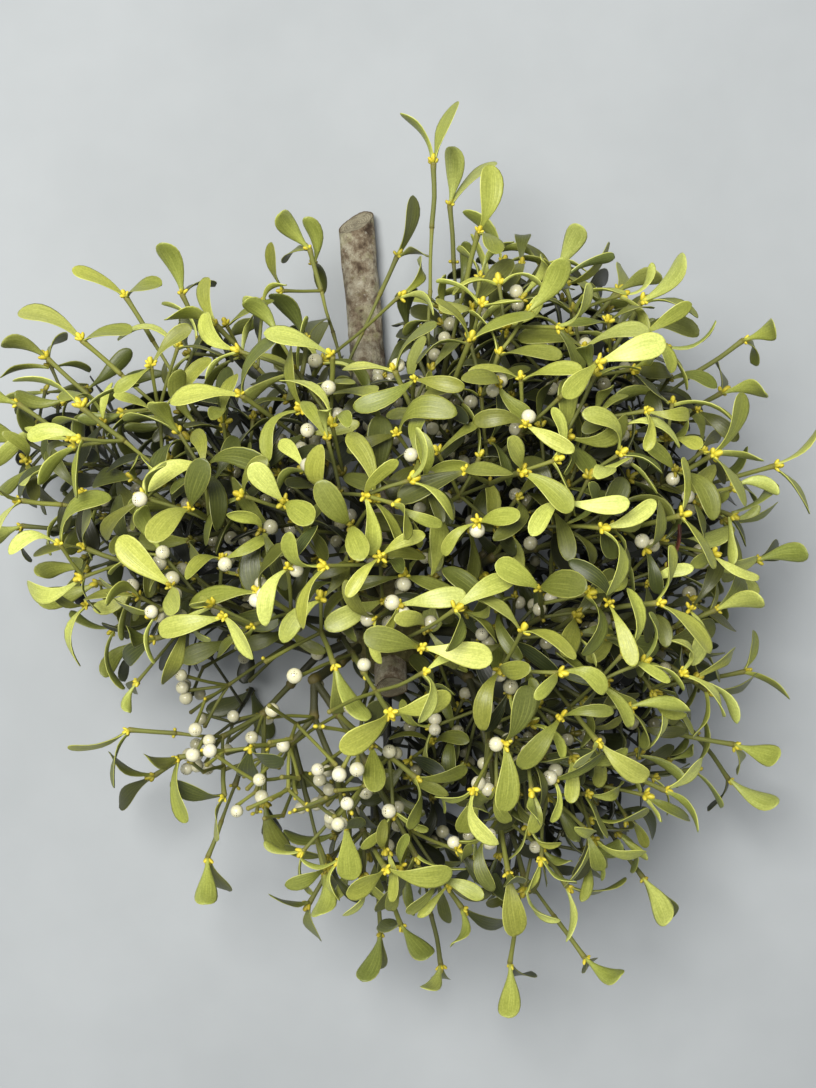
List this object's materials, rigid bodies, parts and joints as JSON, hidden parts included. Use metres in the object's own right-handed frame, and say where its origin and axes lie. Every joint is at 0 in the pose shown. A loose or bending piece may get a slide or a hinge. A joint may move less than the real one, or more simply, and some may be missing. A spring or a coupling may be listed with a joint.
{
  "type": "mistletoe bunch",
  "caption": "Rounded bunch of mistletoe with paired leaves, yellow buds and white berries on forking stems, growing from a short cut piece of host branch and lying on a flat surface.",
  "frame": {"origin": "middle of the outer box, on the surface that the bunch lies on", "axes": "+Z up, away from the surface; +Y the way the cut end of the host branch points; +X to the right as seen from above with +Y up"},
  "size_m": [0.4804, 0.5095, 0.288],
  "materials": {
    "leaf": "satin",
    "stem": "satin",
    "bud": "satin",
    "berry": "gloss",
    "bark": "matt",
    "cut_wood": "matt",
    "base_wood": "matt"
  },
  "bodies": {
    "root": {"spray_01": "leaf", "spray_02": "leaf", "spray_03": "leaf", "spray_04": "leaf", "spray_05": "leaf", "spray_06": "leaf", "spray_07": "leaf", "spray_08": "leaf", "spray_09": "leaf", "spray_10": "leaf", "spray_11": "leaf", "spray_12": "leaf", "spray_13": "leaf", "spray_14": "leaf", "spray_15": "leaf", "spray_16": "leaf", "host_branch": "bark", "mistletoe_base": "base_wood"}
  },
  "joints": []
}
